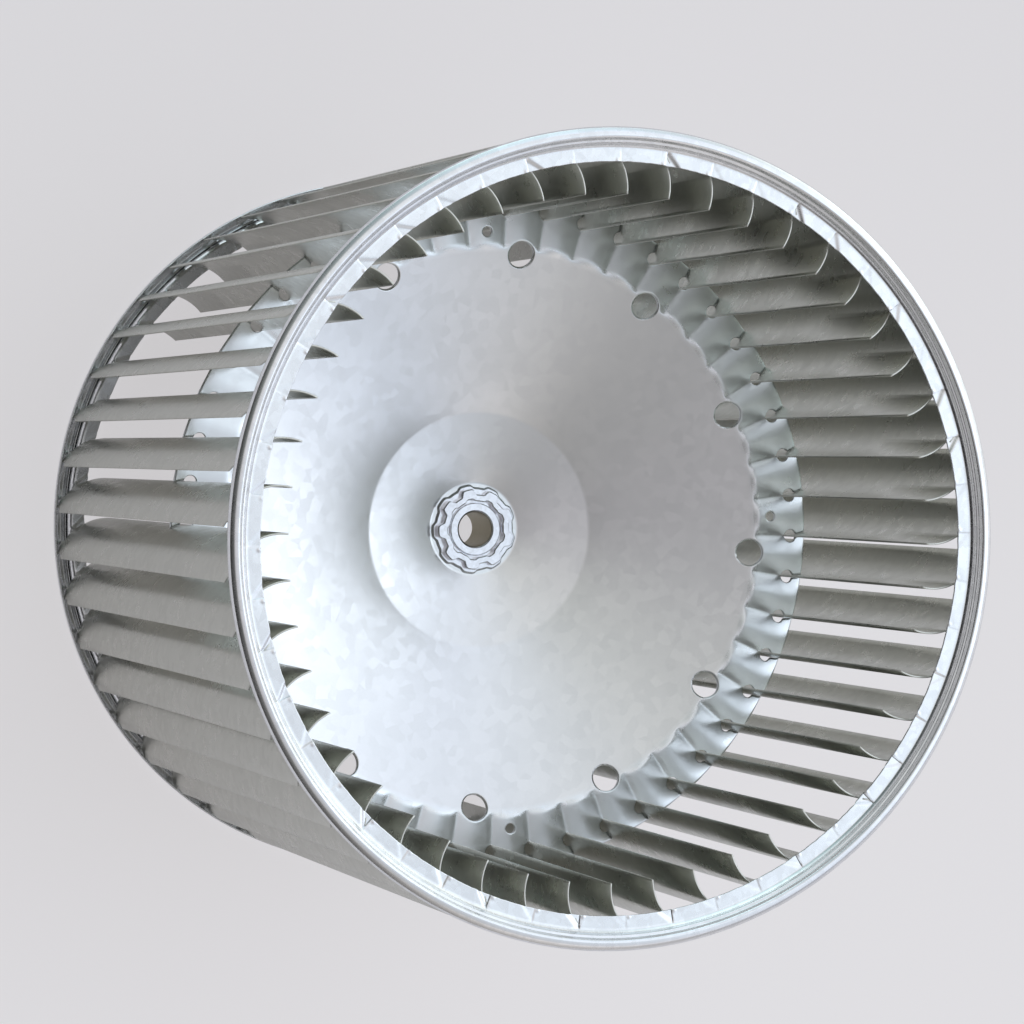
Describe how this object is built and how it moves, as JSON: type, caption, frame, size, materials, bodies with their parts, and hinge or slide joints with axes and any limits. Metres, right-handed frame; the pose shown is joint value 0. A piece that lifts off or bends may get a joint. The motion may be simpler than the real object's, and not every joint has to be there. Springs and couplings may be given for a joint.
{
  "type": "blower wheel",
  "caption": "Double-inlet forward-curved centrifugal blower wheel in galvanised steel, with rolled end rings, a dished centre disc and a bored hub with a set screw.",
  "frame": {"origin": "centre of the wheel's rear end face, on the shaft axis, where the wheel stands on its rear ring", "axes": "+Z along the shaft axis to the front opening, the side with the staked hub crown; +X and +Y across the wheel"},
  "size_m": [0.27, 0.27, 0.247],
  "materials": {
    "galvanised_steel": "zinc-coated sheet, satin with faint spangle",
    "hub_steel": "zinc-plated turned steel",
    "screw_steel": "plain hardened steel"
  },
  "bodies": {
    "root": {"blade_01": "galvanised_steel", "blade_02": "galvanised_steel", "blade_03": "galvanised_steel", "blade_04": "galvanised_steel", "blade_05": "galvanised_steel", "blade_06": "galvanised_steel", "blade_07": "galvanised_steel", "blade_08": "galvanised_steel", "blade_09": "galvanised_steel", "blade_10": "galvanised_steel", "blade_11": "galvanised_steel", "blade_12": "galvanised_steel", "blade_13": "galvanised_steel", "blade_14": "galvanised_steel", "blade_15": "galvanised_steel", "blade_16": "galvanised_steel", "blade_17": "galvanised_steel", "blade_18": "galvanised_steel", "blade_19": "galvanised_steel", "blade_20": "galvanised_steel", "blade_21": "galvanised_steel", "blade_22": "galvanised_steel", "blade_23": "galvanised_steel", "blade_24": "galvanised_steel", "blade_25": "galvanised_steel", "blade_26": "galvanised_steel", "blade_27": "galvanised_steel", "blade_28": "galvanised_steel", "blade_29": "galvanised_steel", "blade_30": "galvanised_steel", "blade_31": "galvanised_steel", "blade_32": "galvanised_steel", "blade_33": "galvanised_steel", "blade_34": "galvanised_steel", "blade_35": "galvanised_steel", "blade_36": "galvanised_steel", "blade_37": "galvanised_steel", "blade_38": "galvanised_steel", "blade_39": "galvanised_steel", "blade_40": "galvanised_steel", "blade_41": "galvanised_steel", "blade_42": "galvanised_steel", "blade_43": "galvanised_steel", "blade_44": "galvanised_steel", "blade_45": "galvanised_steel", "blade_46": "galvanised_steel", "blade_47": "galvanised_steel", "blade_48": "galvanised_steel", "centre_disc": "galvanised_steel", "front_end_ring": "galvanised_steel", "hub": "hub_steel", "rear_end_ring": "galvanised_steel", "set_screw": "screw_steel"}
  },
  "joints": []
}
